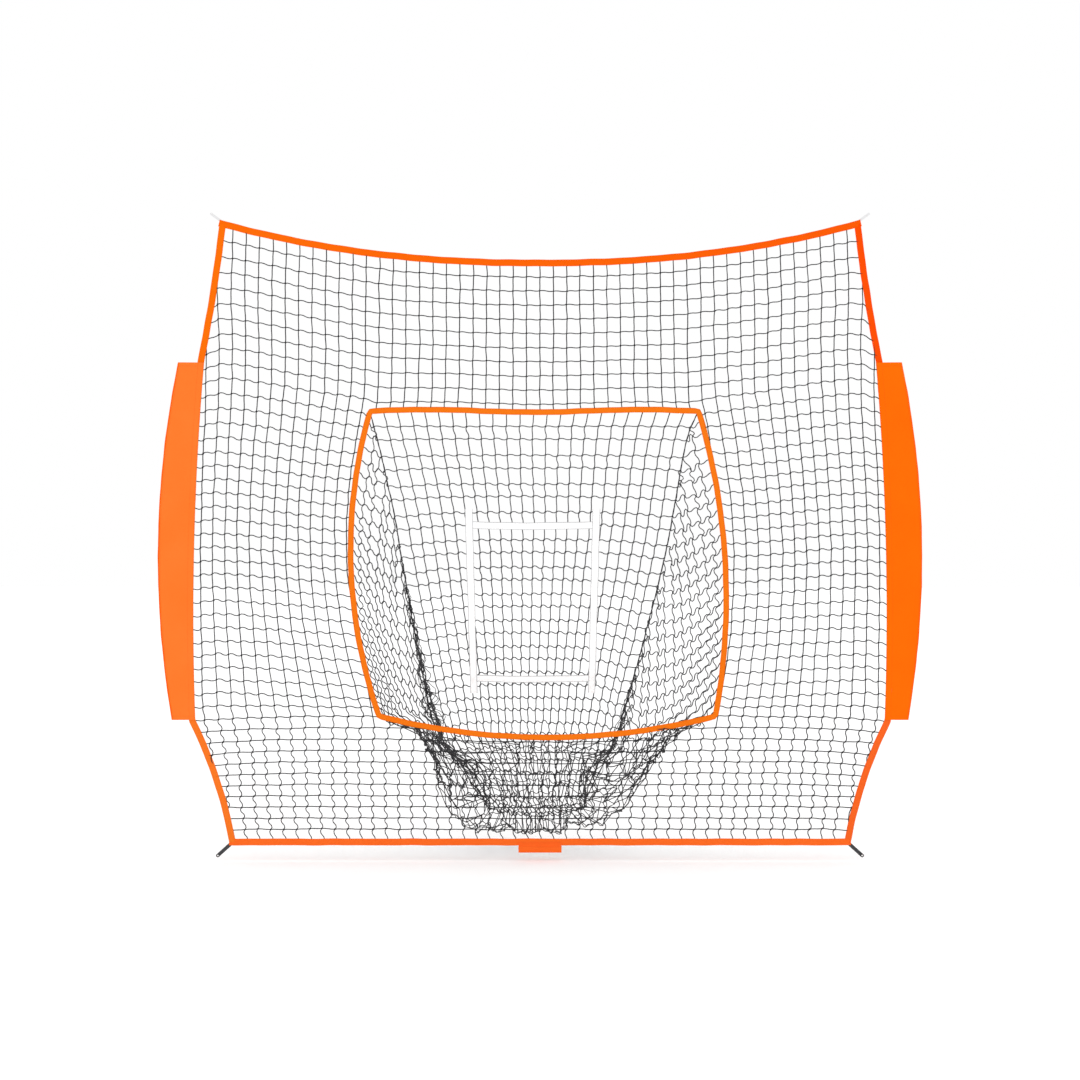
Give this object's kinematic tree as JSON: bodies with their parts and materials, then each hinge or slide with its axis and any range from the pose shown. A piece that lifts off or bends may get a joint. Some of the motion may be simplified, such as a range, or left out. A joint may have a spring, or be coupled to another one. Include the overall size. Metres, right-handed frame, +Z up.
{
  "type": "practice net with ball pocket",
  "caption": "Hanging practice net with taped edges, a deep ball pocket behind its mouth, a strap target on the pocket's back wall and side sleeves for bow poles.",
  "frame": {"origin": "centre of the base loop, where the ground bar of a frame runs", "axes": "+X across the net to the viewer's right, +Y back into the pocket, +Z up"},
  "size_m": [2.5214, 0.4963, 2.1273],
  "materials": {
    "tape": "matt woven tape",
    "sleeve_cloth": "matt woven cloth",
    "netting": "knotted twine",
    "white_webbing": "ribbed webbing",
    "black_elastic": "ribbed elastic",
    "grey_elastic": "ribbed elastic",
    "black_hook_and_loop": "brushed pile"
  },
  "bodies": {
    "net": {"top_hem": "tape", "bottom_hem": "tape", "left_hem": "tape", "right_hem": "tape", "net_top": "netting", "net_bottom": "netting", "net_left": "netting", "net_right": "netting", "rim_top": "tape", "rim_bottom": "tape", "rim_left": "tape", "rim_right": "tape", "left_sleeve_front": "sleeve_cloth", "left_sleeve_back": "sleeve_cloth", "left_sleeve_edge": "sleeve_cloth", "right_sleeve_front": "sleeve_cloth", "right_sleeve_back": "sleeve_cloth", "right_sleeve_edge": "sleeve_cloth", "left_gusset": "netting", "right_gusset": "netting", "sack_floor": "netting", "base_loop": "tape", "hem_loop_patch": "black_hook_and_loop"},
    "back_wall": {"back_wall": "netting", "back_wall_left": "netting", "back_wall_right": "netting"},
    "target": {"target_left": "white_webbing", "target_right": "white_webbing", "target_top": "white_webbing", "target_bottom": "white_webbing", "target_patches": "white_webbing"},
    "base_flap": {"base_flap": "tape", "flap_hook_patch": "black_hook_and_loop"},
    "top_left_tab": {"top_left_tab": "grey_elastic"},
    "top_right_tab": {"top_right_tab": "grey_elastic"},
    "bottom_left_tab": {"bottom_left_tab": "black_elastic"},
    "bottom_right_tab": {"bottom_right_tab": "black_elastic"}
  },
  "joints": [
    {"name": "pocket_swing", "type": "hinge", "parent": "net", "child": "back_wall", "pos_m": [0, 0.0036, 1.445], "axis": [1, 0, 0], "range_deg": [0, 8]},
    {"name": "target_pull", "type": "slide", "parent": "back_wall", "child": "target", "axis": [0, -1, 0], "range_m": [0, 0.6]},
    {"name": "base_flap_open", "type": "hinge", "parent": "net", "child": "base_flap", "pos_m": [0, 0.01126, 0.00415], "axis": [-1, 0, 0], "range_deg": [0, 110]},
    {"name": "top_left_tab_bend", "type": "hinge", "parent": "net", "child": "top_left_tab", "pos_m": [-1.06305, 0, 2.07994], "axis": [-0.5878, 0, -0.809], "range_deg": [-60, 60], "stiffness_Nm_per_rad": 0.02},
    {"name": "top_right_tab_bend", "type": "hinge", "parent": "net", "child": "top_right_tab", "pos_m": [1.06305, 0, 2.07994], "axis": [-0.5878, 0, 0.809], "range_deg": [-60, 60], "stiffness_Nm_per_rad": 0.02},
    {"name": "bottom_left_tab_bend", "type": "hinge", "parent": "net", "child": "bottom_left_tab", "pos_m": [-1.02972, 0, 0.00865], "axis": [0.6691, 0, -0.7431], "range_deg": [-60, 60], "stiffness_Nm_per_rad": 0.02},
    {"name": "bottom_right_tab_bend", "type": "hinge", "parent": "net", "child": "bottom_right_tab", "pos_m": [1.02972, 0, 0.00865], "axis": [0.6691, 0, 0.7431], "range_deg": [-60, 60], "stiffness_Nm_per_rad": 0.02}
  ]
}
